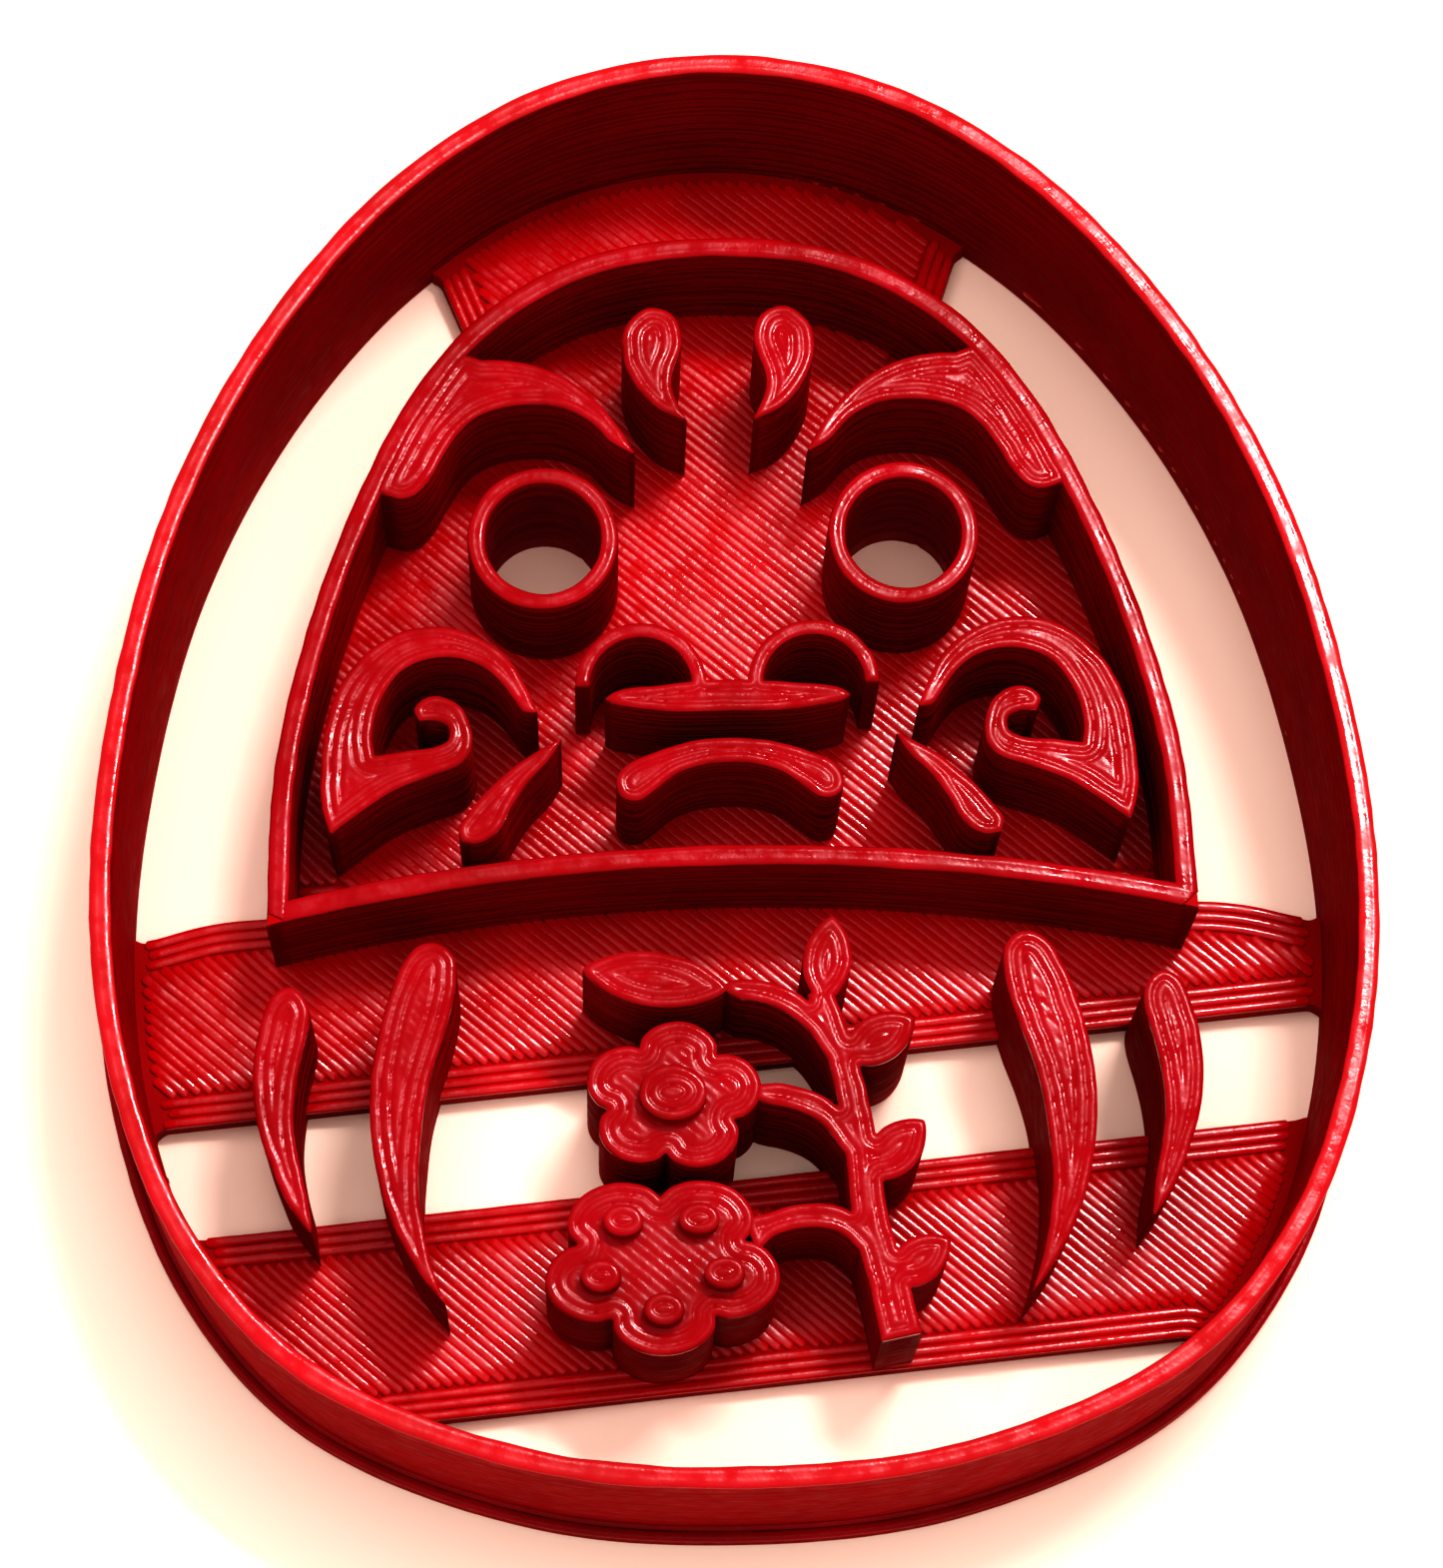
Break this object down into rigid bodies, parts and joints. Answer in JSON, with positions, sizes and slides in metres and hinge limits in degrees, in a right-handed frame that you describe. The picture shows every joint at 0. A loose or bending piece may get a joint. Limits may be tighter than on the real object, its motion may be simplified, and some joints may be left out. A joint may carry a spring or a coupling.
{
  "type": "daruma cookie cutter with face stamp",
  "caption": "Egg-shaped plastic dough cutter whose open plate carries raised ribs that stamp a round doll's face, robe folds and a flowering twig.",
  "frame": {"origin": "middle of the flat back that the cutter lies on", "axes": "+Z from the flat back to the cutting edge, +Y to the top of the doll's head, +X to the right of the face as seen from above"},
  "size_m": [0.0504, 0.0588, 0.011],
  "materials": {
    "red_pla": "satin, as printed"
  },
  "bodies": {
    "root": {"base_flange": "red_pla", "cutting_wall": "red_pla", "top_bridge": "red_pla", "face_plate": "red_pla", "middle_band": "red_pla", "lower_band": "red_pla", "face_outline_rib": "red_pla", "forehead_drop_left": "red_pla", "forehead_drop_right": "red_pla", "brow_left": "red_pla", "brow_right": "red_pla", "eye_ring_left": "red_pla", "eye_ring_right": "red_pla", "nose_rib": "red_pla", "mouth_rib": "red_pla", "moustache_left": "red_pla", "moustache_right": "red_pla", "whisker_left": "red_pla", "whisker_right": "red_pla", "robe_fold_outer_left": "red_pla", "robe_fold_inner_left": "red_pla", "robe_fold_inner_right": "red_pla", "robe_fold_outer_right": "red_pla", "sprig_leaf": "red_pla", "sprig_small_blossom": "red_pla", "sprig_small_heart": "red_pla", "sprig_blossom": "red_pla", "sprig_petal_1": "red_pla", "sprig_petal_2": "red_pla", "sprig_petal_3": "red_pla", "sprig_petal_4": "red_pla", "sprig_petal_5": "red_pla", "sprig_twig": "red_pla"}
  },
  "joints": []
}
